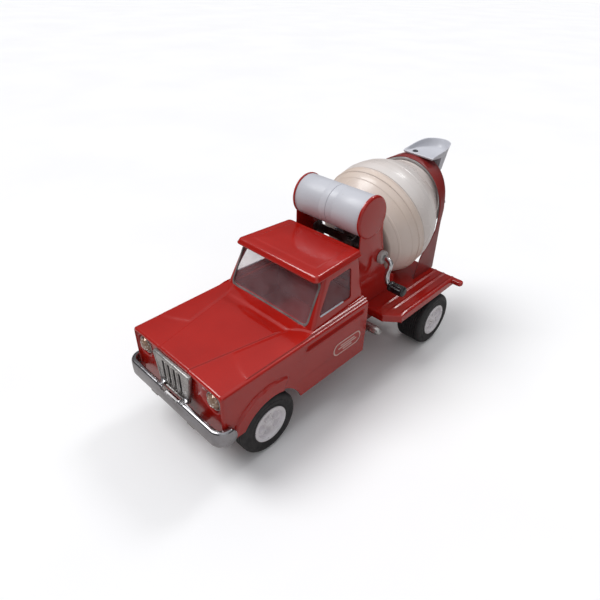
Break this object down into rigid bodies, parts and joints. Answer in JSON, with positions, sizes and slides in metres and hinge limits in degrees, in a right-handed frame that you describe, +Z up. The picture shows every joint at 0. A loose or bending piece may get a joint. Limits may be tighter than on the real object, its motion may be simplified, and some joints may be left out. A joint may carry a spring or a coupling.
{
  "type": "toy cement mixer truck",
  "caption": "Vintage pressed-steel toy cement mixer truck with a hand-cranked rotating drum, water tank, rear arch and loading hopper.",
  "frame": {"origin": "on the ground plane under the middle of the truck's overall length and width", "axes": "+X to the truck's left (the side with the crank), -Y forward through the grille, +Z up"},
  "size_m": [0.192, 0.3948, 0.2135],
  "materials": {
    "tyre": "worn moulded rubber with ribs round the tread",
    "hub_plastic": "aged white plastic",
    "axle_steel": "dull drawn wire",
    "bare_steel": "plain pressed steel",
    "red_enamel": "glossy baked enamel with small chips",
    "chrome": "plated, lightly pitted",
    "clear_plastic": "clear moulding, dusty",
    "silver_plate": "bright stamped plate",
    "amber_lens": "faceted amber jewel",
    "door_label": "faded decal, plain stripes only",
    "white_plastic": "glossy white moulding",
    "ivory_plastic": "yellowed ivory moulding",
    "grey_plastic": "plain moulding",
    "black_rubber": "ribbed soft grip"
  },
  "bodies": {
    "truck": {"chassis_frame": "red_enamel", "flatbed": "red_enamel", "rear_sill": "red_enamel", "exhaust_pipe": "chrome", "exhaust_bracket": "bare_steel", "cab_shell": "red_enamel", "window_glazing": "clear_plastic", "cab_floor": "red_enamel", "grille": "silver_plate", "headlight_lenses": "amber_lens", "front_bumper": "chrome", "bumper_brackets": "bare_steel", "door_marks": "door_label", "drum_pedestal": "red_enamel", "tank_half_left": "white_plastic", "tank_half_right": "white_plastic", "rear_arch": "red_enamel", "drum_bearing_ring": "grey_plastic", "gear_bracket": "bare_steel", "crank_bushing": "grey_plastic", "hopper_rivet": "bare_steel", "front_axle_bracket": "bare_steel", "rear_axle_bracket": "bare_steel"},
    "front_wheels": {"front_axle": "axle_steel", "front_hub_left": "hub_plastic", "front_hub_right": "hub_plastic", "front_tyre_left": "tyre", "front_tyre_right": "tyre"},
    "rear_wheels": {"rear_axle": "axle_steel", "rear_hub_left": "hub_plastic", "rear_hub_right": "hub_plastic", "rear_tyre_left": "tyre", "rear_tyre_right": "tyre"},
    "drum": {"drum_front_shell": "ivory_plastic", "drum_rear_shell": "ivory_plastic", "drum_gear": "grey_plastic", "drum_shaft": "axle_steel", "drum_shaft_clip": "axle_steel"},
    "crank": {"crank_rod": "chrome", "drive_pinion": "grey_plastic"},
    "grip": {"crank_grip": "black_rubber"},
    "hopper": {"hopper": "white_plastic"}
  },
  "joints": [
    {"name": "front_axle_spin", "type": "hinge", "parent": "truck", "child": "front_wheels", "pos_m": [0, -0.13464, 0.03175], "axis": [1, 0, 0], "continuous": true},
    {"name": "rear_axle_spin", "type": "hinge", "parent": "truck", "child": "rear_wheels", "pos_m": [0, 0.11376, 0.03175], "axis": [1, 0, 0], "continuous": true},
    {"name": "drum_spin", "type": "hinge", "parent": "truck", "child": "drum", "pos_m": [0, 0.08856, 0.143], "axis": [0, 0.9681, 0.2504], "continuous": true},
    {"name": "crank_turn", "type": "hinge", "parent": "truck", "child": "crank", "pos_m": [0, 0.04161, 0.13086], "axis": [1, 0, 0], "continuous": true},
    {"name": "grip_spin", "type": "hinge", "parent": "crank", "child": "grip", "pos_m": [0, 0.03649, 0.10547], "axis": [1, 0, 0], "continuous": true},
    {"name": "hopper_swivel", "type": "hinge", "parent": "truck", "child": "hopper", "pos_m": [-0.004, 0.15906, 0.203], "axis": [0, 0, 1], "range_deg": [-8, 19]}
  ],
  "couplings": [
    {"joint": "crank_turn", "follows": "drum_spin", "ratio": -2.6667}
  ]
}
